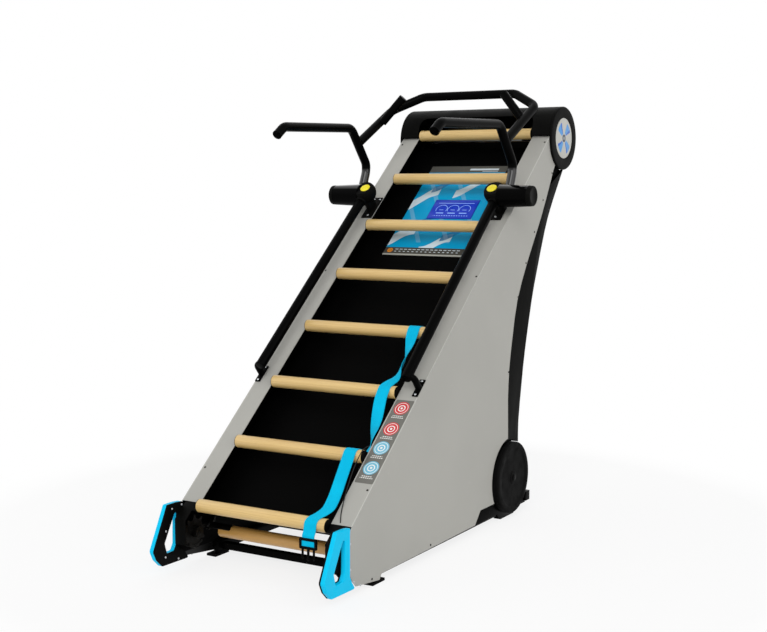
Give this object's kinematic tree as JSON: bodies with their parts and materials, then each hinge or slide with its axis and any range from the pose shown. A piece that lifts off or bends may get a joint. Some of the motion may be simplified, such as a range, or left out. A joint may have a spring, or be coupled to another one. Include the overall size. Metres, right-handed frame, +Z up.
{
  "type": "vertical climber",
  "caption": "Inclined ladder climber: wooden rungs on an endless chain between grey side panels, with handrails, a tilting handlebar, lift handles and transport wheels.",
  "frame": {"origin": "centre of the whole climber's footprint box, on the floor", "axes": "+X to the user's right as they face the ladder, +Y from the foot of the ladder to its hood, +Z up"},
  "size_m": [0.96, 2.0528, 1.7952],
  "materials": {
    "grey_sheet": "fine textured grey powder coat",
    "black_frame": "satin black powder coat",
    "black_plastic": "matt black moulding",
    "black_rubber": "matt black rubber",
    "varnished_wood": "clear satin varnish on pale turned wood",
    "return_wood": "clear satin varnish on pale turned wood, with its steel chain",
    "chain_steel": "oiled dark steel",
    "zinc_steel": "zinc plated",
    "cyan_plastic": "satin cyan moulding",
    "placard_print": "printed panel in cyan and blue",
    "screen": "dark blue screen",
    "yellow_plastic": "satin yellow cap",
    "cyan_webbing": "woven cyan webbing",
    "black_cord": "braided black cord"
  },
  "bodies": {
    "frame": {"left_side_panel": "grey_sheet", "right_side_panel": "grey_sheet", "left_side_channel": "black_frame", "right_side_channel": "black_frame", "base_frame": "black_frame", "upper_cross_brace": "black_frame", "rear_cover": "black_frame", "top_hood": "black_plastic", "left_hood_disc": "black_plastic", "right_hood_disc": "black_plastic", "left_hood_end_plate": "grey_sheet", "right_hood_end_plate": "grey_sheet", "inner_deck": "black_frame", "placard_board": "placard_print", "display_module": "screen", "left_chain_cover": "black_frame", "right_chain_cover": "black_frame", "left_rear_foot_plate": "black_frame", "right_rear_foot_plate": "black_frame", "left_front_foot": "black_rubber", "right_front_foot": "black_rubber", "left_lift_handle": "cyan_plastic", "right_lift_handle": "cyan_plastic", "left_handrail": "black_frame", "right_handrail": "black_frame", "left_hub_housing": "black_frame", "right_hub_housing": "black_frame", "left_lower_bearing": "zinc_steel", "right_lower_bearing": "zinc_steel", "left_upper_bearing": "zinc_steel", "right_upper_bearing": "zinc_steel", "brake_housing": "black_frame", "brake_belt": "black_rubber", "tether_cord": "black_cord"},
    "front_run": {"front_rung_1": "varnished_wood", "front_rung_2": "varnished_wood", "front_rung_3": "varnished_wood", "front_rung_4": "varnished_wood", "front_rung_5": "varnished_wood", "front_rung_6": "varnished_wood", "front_rung_7": "varnished_wood", "front_rung_8": "varnished_wood", "left_front_chain": "chain_steel", "right_front_chain": "chain_steel", "webbing_belt": "cyan_webbing", "belt_buckle": "black_plastic"},
    "return_run": {"return_ladder": "return_wood"},
    "left_lower_stub": {"left_lower_shaft": "zinc_steel", "left_lower_sprocket": "chain_steel"},
    "right_lower_stub": {"right_lower_shaft": "zinc_steel", "right_lower_sprocket": "chain_steel"},
    "upper_sprocket_set": {"upper_shaft": "zinc_steel", "left_upper_sprocket": "chain_steel", "right_upper_sprocket": "chain_steel"},
    "brake_rotor": {"brake_pulley": "zinc_steel"},
    "handlebar": {"handlebar_frame": "black_frame"},
    "left_button": {"left_release_button": "yellow_plastic"},
    "right_button": {"right_release_button": "yellow_plastic"},
    "left_wheel": {"left_transport_wheel": "black_rubber"},
    "right_wheel": {"right_transport_wheel": "black_rubber"}
  },
  "joints": [
    {"name": "front_run_slide", "type": "slide", "parent": "frame", "child": "front_run", "axis": [0, 0.766, 0.6428], "range_m": [-0.07, 0.07]},
    {"name": "return_run_slide", "type": "slide", "parent": "frame", "child": "return_run", "axis": [0, 0.766, 0.6428], "range_m": [-0.07, 0.07]},
    {"name": "left_lower_sprocket_turn", "type": "hinge", "parent": "frame", "child": "left_lower_stub", "pos_m": [-0.313, -0.84816, 0.13171], "axis": [1, 0, 0], "range_deg": [-73, 73]},
    {"name": "right_lower_sprocket_turn", "type": "hinge", "parent": "frame", "child": "right_lower_stub", "pos_m": [0.313, -0.84816, 0.13171], "axis": [1, 0, 0], "range_deg": [-73, 73]},
    {"name": "upper_sprocket_turn", "type": "hinge", "parent": "frame", "child": "upper_sprocket_set", "pos_m": [0, 0.88842, 1.58888], "axis": [1, 0, 0], "range_deg": [-73, 73]},
    {"name": "brake_turn", "type": "hinge", "parent": "frame", "child": "brake_rotor", "pos_m": [-0.34, -0.36042, 0.185], "axis": [1, 0, 0], "range_deg": [-49, 49]},
    {"name": "handlebar_tilt", "type": "hinge", "parent": "frame", "child": "handlebar", "pos_m": [0, 0.34361, 1.34059], "axis": [1, 0, 0], "range_deg": [-8, 20]},
    {"name": "left_button_press", "type": "slide", "parent": "frame", "child": "left_button", "axis": [0, 0.6428, -0.766], "range_m": [0, 0.004], "stiffness_N_per_m": 600, "springref_m": -0.002},
    {"name": "right_button_press", "type": "slide", "parent": "frame", "child": "right_button", "axis": [0, 0.6428, -0.766], "range_m": [0, 0.004], "stiffness_N_per_m": 600, "springref_m": -0.002},
    {"name": "left_wheel_roll", "type": "hinge", "parent": "frame", "child": "left_wheel", "pos_m": [-0.3706, 0.38658, 0.169], "axis": [1, 0, 0], "continuous": true},
    {"name": "right_wheel_roll", "type": "hinge", "parent": "frame", "child": "right_wheel", "pos_m": [0.3706, 0.38658, 0.169], "axis": [1, 0, 0], "continuous": true}
  ],
  "couplings": [
    {"joint": "return_run_slide", "follows": "front_run_slide", "ratio": -1},
    {"joint": "left_lower_sprocket_turn", "follows": "front_run_slide", "rad_per_m": -17.954},
    {"joint": "right_lower_sprocket_turn", "follows": "front_run_slide", "rad_per_m": -17.954},
    {"joint": "upper_sprocket_turn", "follows": "front_run_slide", "rad_per_m": -17.954},
    {"joint": "brake_turn", "follows": "front_run_slide", "rad_per_m": -11.969}
  ]
}
